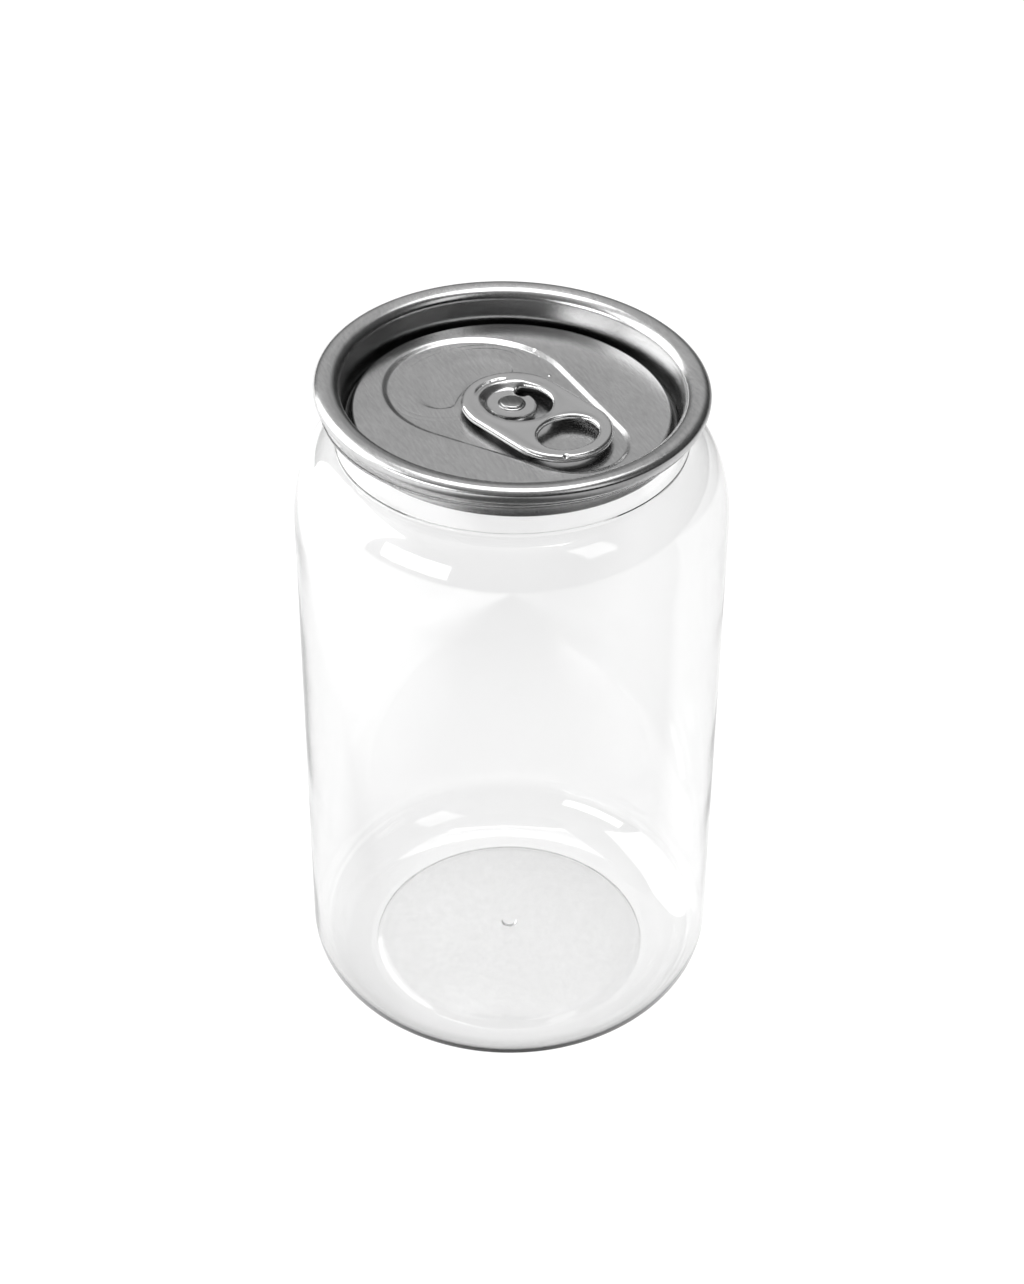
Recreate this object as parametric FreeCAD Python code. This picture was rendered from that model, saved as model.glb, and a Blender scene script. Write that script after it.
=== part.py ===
"""Clear plastic drinks can with a loose aluminium easy-open end.

Three pieces: the blown PET body, the aluminium end with its integral rivet, and
the stay-on tab held by that rivet.  Z is up, the origin is the centre of the
standing ring, and the front of the can faces -Y.  Sizes are millimetres.
"""
import FreeCAD, Part
import math
import os
from FreeCAD import Vector

# ---------------------------------------------------------------- body sizes
body_radius = 33.4
body_wall = 0.5
shoulder_start = 89.0        # where the straight wall ends
shoulder_height = 14.0
neck_wall = 0.45
neck_height = 6.05           # from the shoulder to the underside of the flange
flange_reach = 2.1
flange_thickness = 0.5
flange_root_radius = 0.4
heel_height = 8.7
heel_width = 9.5             # wall to the outside of the standing ring, in plan
foot_width = 1.0             # the flat of the standing ring
foot_slope = 1.0             # standing ring to the sharp edge of the base disc, in plan
crease_height = 0.9          # that edge's height
dome_rise = 2.1              # how far the base disc bulges up at its middle
gate_radius = 1.3
gate_height = 0.5

# ----------------------------------------------------------------- end sizes
sheet = 0.25
curl_overhang = 0.8          # how far the curl stands out past the flange
curl_height = 2.5
curl_crown = 1.1             # crest to the widest part of the curl
curl_tuck = 0.8              # how far the curl's lip turns back in
crest_width = 1.4            # crest to the curl's outside, in plan
crest_flat = 0.35
crest_radius = 2.4
seam_panel_rise = 0.4        # the seaming panel slopes up to the crest by this much
seam_corner_radius = 1.8
chuck_gap = 0.3              # between the chuck wall and the neck, at the curl
chuck_angle = 5.4
countersink_drop = 2.18      # panel to the floor of the countersink
countersink_width = 1.15
countersink_flat = 0.07      # what its two round corners leave flat
panel_depth = 4.77           # crest to the panel
panel_edge_radius = 0.5
panel_margin = 1.95          # flat panel left round the pressed opening
end_tilt = 1.73              # the end isn't seamed on yet and sits slightly askew
end_tilt_direction = -22.0   # the side that sits lowest

# ---------------------------------------------------------------- rivet and tab
rivet_boss_radius = 3.1
rivet_boss_height = 0.6      # above the floor of the deboss
rivet_shank_radius = 1.2
rivet_hole_clearance = 0.1
rivet_head_radius = 2.1
rivet_head_thickness = 0.15
rivet_button_radius = 1.45
rivet_button_height = 0.25
tab_radius = 8.2
tab_nose = 7.4               # rivet to the tip of the nose
tab_turn = -2.5              # the tab sits turned a little about its rivet
tab_ground_gap = 0.65        # between the tab and the floor of the deboss
tab_height = 1.3
tab_edge_flat = 0.05         # half the height its round edge leaves straight
tab_curl_width = 1.5
tab_web_drop = 0.12
tab_web_soft = 0.4           # half width of the soft step from the curl to the web
tab_web = 0.3
island_radius = 3.7
island_thickness = 0.35
island_ramp = 1.2            # the island rises to the web over this distance
slot_width = 1.4             # beside the island
slot_offset = 1.1            # the slot's outer edge is this far off centre, so it widens
slot_start = -99.0
slot_end = 108.0
slot_start_hole = 0.55
slot_start_reach = 0.7       # from the island's edge out to the middle of this hole
slot_end_hole = 0.95
slot_end_bite = 0.25         # the middle of this one lies inside the island's edge
nose_bead_gap = 0.25         # between the ramp and the pressed bead on the nose
nose_bead_width = 0.8
nose_bead_start = 152.0
nose_bead_end = 212.0
nose_bead_depth = 0.16
finger_hole_gap = 1.9        # between the slot and the finger hole
finger_hole_length = 7.9
finger_hole_width = 9.9
finger_hole_heel = 2.3       # between the finger hole and the tip of the heel
finger_curl_width = 0.9
finger_curl_height = 0.65
crimp_angle = -31.0          # nick where the curled edge of the tab closes
crimp_radius = 0.3

# ------------------------------------------- panel features, along the tab's axis
opening_direction = -44.0    # from the rivet towards the tab's heel
deboss_depth = 0.45
deboss_slope = 1.3           # width of the deboss's sloping side
tab_side_room = 0.3          # tab to the foot of the deboss beside the heel
finger_room = 3.0            # tip of the heel to the end of the deboss
tear_rivet_gap = 1.3
tear_length = 9.0            # half length of the tear panel, along the axis
tear_width = 12.9            # half width, across the axis
tear_side_room = 1.65        # score to the edge of the deboss, beside the tear panel
tear_end_room = 2.35         # and beyond its far end
score_width = 0.22
score_depth = 0.09
score_spacing = 1.0          # the second score runs this far inside the first
score_gap = 55.0             # half angle left uncut at the hinge side
pad_margin_length = 3.4      # from the score to the raised pad
pad_margin_width = 3.6
pad_height = 0.3
pad_nose_gap = 1.9           # between the pad and the tab's nose
pad_fade = 0.25
pimple_radius = 0.35         # small raised dot beside the tear panel
pimple_along = -2.6
pimple_across = 10.9

# ------------------------------------------------------------- derived places
deboss_floor = -deboss_depth
tab_bottom = deboss_floor + tab_ground_gap
tab_top = tab_bottom + tab_height
tab_edge_radius = tab_height / 2.0 - tab_edge_flat
web_top = tab_top - tab_web_drop
web_bottom = web_top - tab_web
island_bottom = deboss_floor + rivet_boss_height
island_top = island_bottom + island_thickness
slot_radius = island_radius + slot_width
slot_outer = slot_radius + slot_offset
finger_hole_centre = slot_outer + finger_hole_gap + finger_hole_length / 2.0
tab_heel = finger_hole_centre + finger_hole_length / 2.0 + finger_hole_heel
nose_centre = tab_radius - tab_nose
heel_centre = tab_heel - tab_radius

tear_centre = -(tear_rivet_gap + tear_length)
deboss_small_radius = tab_radius + tab_side_room
deboss_small_centre = tab_heel + finger_room - deboss_small_radius
deboss_big_radius = tear_width + tear_side_room
deboss_far_end = tear_centre - tear_length - tear_end_room
deboss_big_centre = deboss_far_end + deboss_big_radius

panel_flat = max(-deboss_far_end, deboss_small_centre + deboss_small_radius) + panel_margin
panel_radius = panel_flat + panel_edge_radius
countersink_depth = panel_depth + countersink_drop
countersink_radius = (countersink_width - countersink_flat) / 2.0
chuck_slope = math.tan(math.radians(chuck_angle))
chuck_foot = panel_radius + countersink_width
chuck_radius = chuck_foot + (countersink_depth - curl_crown) * chuck_slope
neck_inner = chuck_radius + sheet + chuck_gap
neck_radius = neck_inner + neck_wall
flange_radius = neck_radius + flange_reach
curl_radius = flange_radius + curl_overhang

neck_line = shoulder_start + shoulder_height
flange_top = neck_line + neck_height + flange_thickness
body_inner = body_radius - body_wall
foot_out = body_radius - heel_width
foot_in = foot_out - foot_width
crease_radius = foot_in - foot_slope

UP = Vector(0, 0, 1)


# ------------------------------------------------------------ shape helpers
def at(radius, height):
    """A point of a profile that is turned about Z."""
    return Vector(radius, 0, height)


def line(start, end):
    return Part.makeLine(start, end)


def quarter(start, corner, end):
    """A quarter ellipse that leaves start and reaches end along the sides of corner."""
    curve = Part.BezierCurve()
    curve.setPoles([start, corner, end])
    curve.setWeight(2, math.sqrt(0.5))
    return curve.toShape()


def rounded_path(corners, radii):
    """An open wire of straight runs, with each inner corner rounded to its radius."""
    edges = []
    last = corners[0]
    for before, corner, after, radius in zip(corners, corners[1:], corners[2:], radii):
        back = (before - corner).normalize()
        onward = (after - corner).normalize()
        half = back.getAngle(onward) / 2.0
        reach = radius / math.tan(half)
        start = corner + back * reach
        end = corner + onward * reach
        middle_way = (back + onward).normalize()
        middle = corner + middle_way * (radius / math.sin(half) - radius)
        edges += [line(last, start), Part.Arc(start, middle, end).toShape()]
        last = end
    edges.append(line(last, corners[-1]))
    return edges


def turned(edges):
    """The solid that a closed profile sweeps round the Z axis."""
    face = Part.Face(Part.Wire(edges))
    return face.revolve(Vector(0, 0, 0), UP, 360)


def polar(radius, degrees, height=0.0, centre=0.0):
    angle = math.radians(degrees)
    return Vector(centre + radius * math.cos(angle), radius * math.sin(angle), height)


def two_circle_outline(left, left_radius, right, right_radius, height):
    """Two circles on the X axis and the straight lines that touch both."""
    lean = math.asin((left_radius - right_radius) / (right - left))
    side = math.degrees(math.pi / 2.0 - lean)
    left_top = polar(left_radius, side, height, left)
    left_foot = polar(left_radius, -side, height, left)
    right_top = polar(right_radius, side, height, right)
    right_foot = polar(right_radius, -side, height, right)
    return Part.Wire([
        Part.Arc(left_top, polar(left_radius, 180, height, left), left_foot).toShape(),
        line(left_foot, right_foot),
        Part.Arc(right_foot, polar(right_radius, 0, height, right), right_top).toShape(),
        line(right_top, left_top),
    ])


def teardrop(grow, height):
    return two_circle_outline(
        deboss_big_centre, deboss_big_radius + grow,
        deboss_small_centre, deboss_small_radius + grow, height,
    )


def stadium(inset, height):
    return two_circle_outline(
        nose_centre, tab_radius - inset, heel_centre, tab_radius - inset, height,
    )


def ellipse(half_x, half_y, centre, height):
    """An ellipse on the X axis, as four exact quarters."""
    right, left = Vector(centre + half_x, 0, height), Vector(centre - half_x, 0, height)
    back, front = Vector(centre, half_y, height), Vector(centre, -half_y, height)
    return Part.Wire([
        quarter(right, Vector(centre + half_x, half_y, height), back),
        quarter(back, Vector(centre - half_x, half_y, height), left),
        quarter(left, Vector(centre - half_x, -half_y, height), front),
        quarter(front, Vector(centre + half_x, -half_y, height), right),
    ])


def prism(outline, height):
    return Part.Face(outline).extrude(Vector(0, 0, height))


def disc(radius, bottom, top, centre=0.0, across=0.0):
    return Part.makeCylinder(radius, top - bottom, Vector(centre, across, bottom), UP)


def sector(radius, start, end, bottom, top):
    """A pie slice about the rivet, from one angle to another."""
    middle = (start + end) / 2.0
    hub = Vector(0, 0, bottom)
    outline = Part.Wire([
        line(hub, polar(radius, start, bottom)),
        Part.Arc(
            polar(radius, start, bottom), polar(radius, middle, bottom),
            polar(radius, end, bottom),
        ).toShape(),
        line(polar(radius, end, bottom), hub),
    ])
    return prism(outline, top - bottom)


def edges_at(solid, height):
    """The edges that lie wholly at one height."""
    return [
        edge for edge in solid.Edges
        if abs(edge.BoundBox.ZMin - height) < 1e-4 and abs(edge.BoundBox.ZMax - height) < 1e-4
    ]


# ------------------------------------------------------------------ can body
def make_body():
    """Blown PET: domed base, standing ring, round heel, shoulder, neck and flange."""
    dome_top = crease_height + dome_rise
    dome_middle = crease_height + dome_rise * 0.75
    flange_foot = flange_top - flange_thickness
    outside = [
        Part.Arc(
            at(0, dome_top), at(crease_radius / 2.0, dome_middle),
            at(crease_radius, crease_height),
        ).toShape(),
        line(at(crease_radius, crease_height), at(foot_in, 0)),
        line(at(foot_in, 0), at(foot_out, 0)),
        quarter(at(foot_out, 0), at(body_radius, 0), at(body_radius, heel_height)),
        line(at(body_radius, heel_height), at(body_radius, shoulder_start)),
        quarter(
            at(body_radius, shoulder_start), at(body_radius, neck_line),
            at(neck_radius, neck_line),
        ),
    ]
    outside += rounded_path(
        [at(neck_radius, neck_line), at(neck_radius, flange_foot), at(flange_radius, flange_foot)],
        [flange_root_radius],
    )
    inner_line = neck_line - body_wall
    rim = [
        line(at(flange_radius, flange_foot), at(flange_radius, flange_top)),
        line(at(flange_radius, flange_top), at(neck_inner + flange_root_radius, flange_top)),
        quarter(
            at(neck_inner + flange_root_radius, flange_top), at(neck_inner, flange_top),
            at(neck_inner, flange_top - flange_root_radius),
        ),
        line(at(neck_inner, flange_top - flange_root_radius), at(neck_inner, inner_line)),
    ]
    inside = [
        quarter(
            at(neck_inner, inner_line), at(body_inner, inner_line),
            at(body_inner, shoulder_start),
        ),
        line(at(body_inner, shoulder_start), at(body_inner, heel_height)),
        quarter(at(body_inner, heel_height), at(body_inner, body_wall), at(foot_out, body_wall)),
        line(at(foot_out, body_wall), at(foot_in, body_wall)),
        line(at(foot_in, body_wall), at(crease_radius, crease_height + body_wall)),
        Part.Arc(
            at(crease_radius, crease_height + body_wall),
            at(crease_radius / 2.0, dome_middle + body_wall), at(0, dome_top + body_wall),
        ).toShape(),
        line(at(0, dome_top + body_wall), at(0, dome_top)),
    ]
    shell = turned(outside + rim + inside)
    gate = Part.makeCone(
        gate_radius, gate_radius * 0.6, gate_height + body_wall / 2.0,
        Vector(0, 0, dome_top + body_wall / 2.0), UP,
    )
    return shell.fuse(gate).removeSplitter()


# --------------------------------------------------------------- aluminium end
def beside(corners, distance):
    """The corners of a path that runs a set distance to the right of another."""
    shifts = []
    for start, end in zip(corners, corners[1:]):
        way = (end - start).normalize()
        shifts.append(Vector(way.z, 0, -way.x) * distance)
    moved = [corners[0] + shifts[0]]
    for corner, before, after in zip(corners[1:], shifts, shifts[1:]):
        both = before + after
        moved.append(corner + both * (2.0 * distance ** 2 / both.dot(both)))
    moved.append(corners[-1] + shifts[-1])
    return moved


def end_side(corners, radii, depth):
    """One side of the sheet, from the centre out over the crest and round the curl."""
    outside = curl_radius - depth
    lowest = -curl_height + depth
    return rounded_path(corners, radii) + [
        quarter(corners[-1], at(outside, -depth), at(outside, -curl_crown)),
        quarter(
            at(outside, -curl_crown), at(outside, lowest), at(curl_radius - curl_tuck, lowest),
        ),
    ]


def end_shell():
    """The pressed cup: panel, countersink, chuck wall, seaming panel and curl.

    Heights are measured from the crest of the curl.
    """
    floor = -countersink_depth
    seam_corner = chuck_radius + (curl_crown - seam_panel_rise) * chuck_slope
    crest_end = curl_radius - crest_width
    corners = [
        at(0, -panel_depth),
        at(panel_radius, -panel_depth),
        at(panel_radius, floor),
        at(chuck_foot, floor),
        at(seam_corner, -seam_panel_rise),
        at(crest_end - crest_flat, 0),
        at(crest_end, 0),
    ]
    over = [
        panel_edge_radius, countersink_radius, countersink_radius,
        seam_corner_radius, crest_radius,
    ]
    under = [
        panel_edge_radius - sheet, countersink_radius + sheet, countersink_radius + sheet,
        seam_corner_radius - sheet, crest_radius - sheet,
    ]
    lip = curl_radius - curl_tuck
    top_side = end_side(corners, over, 0.0)
    under_side = end_side(beside(corners, sheet), under, sheet)
    return turned(
        top_side
        + [line(at(lip, -curl_height), at(lip, sheet - curl_height))]
        + under_side[::-1]
        + [line(at(0, -panel_depth - sheet), at(0, -panel_depth))]
    )


def score(inset):
    """A shallow groove round the tear panel, open on the hinge side."""
    floor = deboss_floor - score_depth
    ring = prism(
        ellipse(tear_length - inset, tear_width - inset, tear_centre, floor), deboss_depth
    ).cut(prism(
        ellipse(
            tear_length - inset - score_width, tear_width - inset - score_width,
            tear_centre, floor - 1.0,
        ), deboss_depth + 2.0,
    ))
    reach = tear_width * 3.0
    hinge = sector(reach, -score_gap, score_gap, floor - 1.0, deboss_depth)
    hinge.translate(Vector(tear_centre + tear_length * 0.35, 0, 0))
    return ring.cut(hinge)


def tear_pad():
    """The low raised pad on the tear panel, hollowed where the tab's nose lies."""
    base = deboss_floor - sheet / 2.0
    height = sheet / 2.0 + pad_height
    oval = prism(
        ellipse(
            tear_length - pad_margin_length, tear_width - pad_margin_width,
            tear_centre, base,
        ), height,
    )
    pad = oval.cut(prism(stadium(-pad_nose_gap, base - 1.0), height + 2.0))
    return pad.makeFillet(pad_fade, edges_at(pad, base + height))


def make_end():
    """The end with its pressed panel features, built level, crest at height 0."""
    under = deboss_floor - sheet
    tray = Part.makeLoft([
        teardrop(sheet, -sheet), teardrop(sheet - deboss_slope, under),
    ], True)
    hollow = Part.makeLoft([
        teardrop(deboss_slope * 0.1, deboss_depth * 0.1),
        teardrop(-deboss_slope, deboss_floor),
    ], True)
    boss = Part.makeCone(
        rivet_boss_radius + rivet_boss_height, rivet_boss_radius, rivet_boss_height,
        Vector(0, 0, deboss_floor), UP,
    )
    head_top = island_top + rivet_head_thickness
    shank = disc(rivet_shank_radius, deboss_floor, head_top)
    head = disc(rivet_head_radius, island_top, head_top)
    button = disc(rivet_button_radius, island_top, head_top + rivet_button_height)
    button = button.makeFillet(
        rivet_button_height * 0.7, edges_at(button, head_top + rivet_button_height),
    )
    pimple = Part.makeSphere(
        pimple_radius, Vector(pimple_along, pimple_across, deboss_floor - pimple_radius * 0.4),
    )
    added = [tear_pad(), boss, shank, head, button, pimple]
    removed = [score(0.0), score(score_spacing)]
    turn = FreeCAD.Placement(
        Vector(0, 0, -panel_depth), FreeCAD.Rotation(UP, opening_direction), Vector(0, 0, 0),
    )
    for shape in [tray, hollow] + added + removed:
        shape.Placement = turn.multiply(shape.Placement)
    end = end_shell().fuse(tray).cut([hollow] + removed).fuse(added)
    return end.removeSplitter()


# --------------------------------------------------------------------- the tab
def rivet_dish(height_over):
    """Turned about the rivet: the island, and the ramp that rises from it to the web."""
    ramp_end = island_radius + island_ramp
    over = [
        at(0, island_top), at(island_radius, island_top), at(ramp_end, web_top),
        at(ramp_end, web_top + height_over), at(0, web_top + height_over),
    ]
    body = [
        at(0, island_bottom), at(island_radius, island_bottom), at(ramp_end, web_bottom),
        at(ramp_end, web_top), at(island_radius, island_top), at(0, island_top),
    ]
    return [turned(Part.makePolygon(points + points[:1]).Edges) for points in (over, body)]


def finger_collar():
    """The rolled edge of the finger hole, kept inside the tab's own edge."""
    base = tab_top - finger_curl_height
    collar = prism(
        ellipse(
            finger_hole_length / 2.0 + finger_curl_width,
            finger_hole_width / 2.0 + finger_curl_width, finger_hole_centre, base,
        ), finger_curl_height,
    )
    collar = collar.makeFillet(
        finger_curl_height / 2.0 - tab_edge_flat,
        edges_at(collar, base) + edges_at(collar, tab_top),
    )
    return collar.common(prism(stadium(tab_edge_radius, tab_bottom), tab_height))


def island_slot(low, high):
    """The C-shaped cut that frees the island, with a round hole at each end."""
    slot = sector(slot_outer + slot_offset, slot_start, slot_end, low, high)
    slot = slot.common(disc(slot_radius, low - 1.0, high + 1.0, slot_offset, 0))
    slot = slot.cut(disc(island_radius, low - 1.0, high + 1.0))
    ends = []
    for angle, reach, radius in (
        (slot_start, island_radius + slot_start_reach, slot_start_hole),
        (slot_end, island_radius - slot_end_bite, slot_end_hole),
    ):
        spot = polar(reach, angle)
        ends.append(disc(radius, low, high, spot.x, spot.y))
    return slot.fuse(ends)


def make_tab():
    """Stay-on tab: curled edge, finger hole, and a rivet island cut free by a slot."""
    low, high = tab_bottom - 1.0, tab_top + 1.0
    plate = prism(stadium(0, tab_bottom), tab_height)
    plate = plate.makeFillet(
        tab_edge_radius, edges_at(plate, tab_bottom) + edges_at(plate, tab_top),
    )
    step = tab_web_soft / tab_web_drop
    lift = 0.03
    recess = Part.makeLoft([
        stadium(tab_curl_width + tab_web_soft, web_top),
        stadium(tab_curl_width - tab_web_soft - 2.0 * step * lift, tab_top + lift),
    ], True)
    belly = prism(stadium(tab_curl_width, low), web_bottom - low)
    over_dish, dish = rivet_dish(high - web_top)
    bead_inner = island_radius + island_ramp + nose_bead_gap
    bead = sector(
        bead_inner + nose_bead_width, nose_bead_start, nose_bead_end,
        web_top - nose_bead_depth, high,
    ).cut(disc(bead_inner, low, high + 1.0))
    hole = prism(
        ellipse(finger_hole_length / 2.0, finger_hole_width / 2.0, finger_hole_centre, low),
        high - low,
    )
    rivet_hole = disc(rivet_shank_radius + rivet_hole_clearance, low, high)
    crimp = Part.makeCylinder(
        crimp_radius, tab_radius, Vector(heel_centre, 0, tab_top + crimp_radius * 0.5),
        polar(1.0, crimp_angle),
    ).cut(disc(tab_radius - tab_curl_width, low, high, heel_centre))
    tab = plate.cut([recess, belly]).cut(over_dish).fuse([finger_collar(), dish])
    tab = tab.cut([island_slot(low, high), bead, hole, rivet_hole, crimp])
    turn = FreeCAD.Placement(
        Vector(0, 0, -panel_depth), FreeCAD.Rotation(UP, opening_direction + tab_turn),
        Vector(0, 0, 0),
    )
    tab.Placement = turn.multiply(tab.Placement)
    return tab.removeSplitter()


# ------------------------------------------------------------------- assembly
def seat_on_flange(shape):
    """Tilt a piece of the end and set the lip's lowest point down on the flange."""
    angle = math.radians(end_tilt)
    across, down = math.sin(angle), math.cos(angle)
    rise = (
        (curl_radius - curl_tuck) * across + curl_crown * down
        + math.hypot(curl_tuck * across, (curl_height - curl_crown) * down)
    )
    direction = math.radians(end_tilt_direction)
    axis = Vector(-math.sin(direction), math.cos(direction), 0)
    tilt = FreeCAD.Placement(
        Vector(0, 0, flange_top + rise), FreeCAD.Rotation(axis, end_tilt), Vector(0, 0, 0),
    )
    seated = shape.copy()
    seated.Placement = tilt.multiply(shape.Placement)
    return seated


def main():
    os.makedirs("parts", exist_ok=True)
    pieces = {
        "can_body": make_body(),
        "can_end": seat_on_flange(make_end()),
        "tab": seat_on_flange(make_tab()),
    }
    for name, shape in pieces.items():
        box = shape.BoundBox
        print(
            name, "solids", len(shape.Solids), "valid", shape.isValid(),
            "volume %.1f" % shape.Volume, "z %.3f..%.3f" % (box.ZMin, box.ZMax),
        )
        shape.Solids[0].exportStep("parts/%s.step" % name)


main()
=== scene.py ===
import bpy
import math
import numpy as np
from mathutils import Matrix, Vector, geometry, kdtree


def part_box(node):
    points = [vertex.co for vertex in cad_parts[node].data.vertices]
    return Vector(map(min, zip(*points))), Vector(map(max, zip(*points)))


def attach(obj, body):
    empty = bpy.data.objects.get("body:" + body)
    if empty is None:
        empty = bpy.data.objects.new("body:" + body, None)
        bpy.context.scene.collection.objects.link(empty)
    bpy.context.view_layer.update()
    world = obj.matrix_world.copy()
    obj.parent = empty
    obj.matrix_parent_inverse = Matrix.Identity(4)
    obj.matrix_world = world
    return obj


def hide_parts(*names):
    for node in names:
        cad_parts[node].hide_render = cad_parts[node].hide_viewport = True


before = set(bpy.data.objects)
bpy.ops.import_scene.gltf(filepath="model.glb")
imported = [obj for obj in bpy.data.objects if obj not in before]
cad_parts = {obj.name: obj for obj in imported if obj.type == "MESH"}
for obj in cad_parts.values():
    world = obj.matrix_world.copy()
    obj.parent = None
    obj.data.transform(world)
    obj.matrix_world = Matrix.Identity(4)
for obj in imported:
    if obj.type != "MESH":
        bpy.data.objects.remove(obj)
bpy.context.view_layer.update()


# --- Viewpoint -------------------------------------------------------------------
# The can is looked down on from the front, from a third of a metre above the table
# and a third of a metre away, through a long lens.
view_from = Vector((0.0, -0.3421, 0.32222))
view_down = math.radians(37.049)
view_turn = math.radians(0.028)
view_roll = math.radians(0.403)
viewer = bpy.data.cameras.new("viewer")
viewer.lens = 75.3
viewer.sensor_width = 36.0
viewer.clip_start = 0.01
viewer.clip_end = 50.0
viewpoint = bpy.data.objects.new("viewer", viewer)
viewpoint.matrix_world = (
    Matrix.Translation(view_from)
    @ Matrix.Rotation(-view_turn, 4, "Z")
    @ Matrix.Rotation(math.pi / 2 - view_down, 4, "X")
    @ Matrix.Rotation(view_roll, 4, "Z")
)
bpy.context.scene.collection.objects.link(viewpoint)
bpy.context.scene.camera = viewpoint
bpy.context.scene.view_settings.view_transform = "Standard"


# --- Can body ----------------------------------------------------------------------
# One piece of clear PET, blown from a preform: a domed base inside a standing ring,
# a round heel, a straight wall, a rounded shoulder, a short neck and a rolled-out
# flange. The wall is half a millimetre thick all over. Sizes are in millimetres.
body_radius = 33.4
body_wall = 0.5
shoulder_start = 89.0
neck_line = 103.0
neck_radius = 26.8
neck_wall = 0.45
neck_crease = 0.25
neck_groove = (0.1, 0.12)        # depth and half width of the groove at the neck's foot
neck_groove_height = 0.45        # over the neck's foot
flange_radius = 28.9
flange_thickness = 0.5
flange_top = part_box("can_body")[1].z * 1000
heel_height = 8.7
foot_radius = 23.4
foot_width = 1.0
crease_radius = 21.9
crease_height = 0.9
dome_rise = 2.1
gate_radius = 1.3
gate_height = 0.5


def curve_round(start, corner, end, steps):
    """A quarter ellipse from start to end that leaves both along the sides of corner."""
    start, corner, end = Vector(start), Vector(corner), Vector(end)
    centre = start + end - corner
    points = []
    for i in range(steps + 1):
        turn = math.pi / 2 * i / steps
        points.append(centre + (start - centre) * math.cos(turn) + (end - centre) * math.sin(turn))
    return [tuple(p) for p in points]


def turned_piece(profile, segments):
    """Vertices and faces of a profile of (radius, height) turned about the upright axis.

    A point on the axis becomes one vertex, so poles are closed.
    """
    verts, rings, faces = [], [], []
    for radius, height in profile:
        if radius < 1e-9:
            rings.append([len(verts)])
            verts.append((0.0, 0.0, height))
            continue
        rings.append(list(range(len(verts), len(verts) + segments)))
        for i in range(segments):
            angle = 2 * math.pi * i / segments
            verts.append((radius * math.cos(angle), radius * math.sin(angle), height))
    for low, high in zip(rings, rings[1:]):
        for i in range(segments):
            j = (i + 1) % segments
            if len(low) == 1 and len(high) == 1:
                break
            if len(low) == 1:
                faces.append((low[0], high[j], high[i]))
            elif len(high) == 1:
                faces.append((low[i], low[j], high[0]))
            else:
                faces.append((low[i], low[j], high[j], high[i]))
    return verts, faces


def finished(name, verts, faces, crease_angle):
    """A piece at the origin, in metres, smooth but for edges sharper than the angle."""
    mesh = bpy.data.meshes.new(name)
    mesh.from_pydata([tuple(c * 0.001 for c in v) for v in verts], [], faces)
    mesh.validate()
    mesh.shade_smooth()
    mesh.set_sharp_from_angle(angle=math.radians(crease_angle))
    piece = bpy.data.objects.new(name, mesh)
    bpy.context.scene.collection.objects.link(piece)
    return piece


def dome(radius_from, radius_to, rise, base, steps):
    """A shallow spherical cap's profile, from one radius to another."""
    sphere = (crease_radius ** 2 + rise ** 2) / (2 * rise)
    points = []
    for i in range(steps + 1):
        r = radius_from + (radius_to - radius_from) * i / steps
        points.append((r, base + rise - sphere + math.sqrt(sphere ** 2 - r ** 2)))
    return points


foot_in = foot_radius - foot_width / 2
foot_out = foot_radius + foot_width / 2
neck_inner = neck_radius - neck_wall
body_inner = body_radius - body_wall
flange_foot = flange_top - flange_thickness
body_outside = (
    dome(0.0, crease_radius - 0.15, dome_rise, crease_height, 22)
    + [(crease_radius, crease_height - 0.03), (crease_radius + 0.12, crease_height - 0.12)]
    + [(foot_in - 0.2, 0.12), (foot_in, 0.0), (foot_out, 0.0)]
    + curve_round((foot_out, 0.0), (body_radius, 0.0), (body_radius, heel_height), 26)[1:]
    + [(body_radius, heel_height + (shoulder_start - heel_height) * i / 8) for i in range(1, 8)]
    + curve_round(
        (body_radius, shoulder_start), (body_radius, neck_line),
        (neck_radius + neck_crease, neck_line), 30,
    )
    + curve_round(
        (neck_radius + neck_crease, neck_line), (neck_radius, neck_line),
        (neck_radius, neck_line + neck_crease), 4,
    )[1:]
    + [
        (neck_radius, neck_line + neck_groove_height - neck_groove[1]),
        (neck_radius - neck_groove[0], neck_line + neck_groove_height),
        (neck_radius, neck_line + neck_groove_height + neck_groove[1]),
    ]
    + curve_round(
        (neck_radius, flange_foot - 0.4), (neck_radius, flange_foot),
        (neck_radius + 0.4, flange_foot), 6,
    )
    + [(flange_radius - 0.2, flange_foot)]
    + curve_round(
        (flange_radius - 0.2, flange_foot), (flange_radius, flange_foot),
        (flange_radius, flange_foot + 0.2), 4,
    )[1:]
    + curve_round(
        (flange_radius, flange_top - 0.2), (flange_radius, flange_top),
        (flange_radius - 0.2, flange_top), 4,
    )
)
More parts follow.
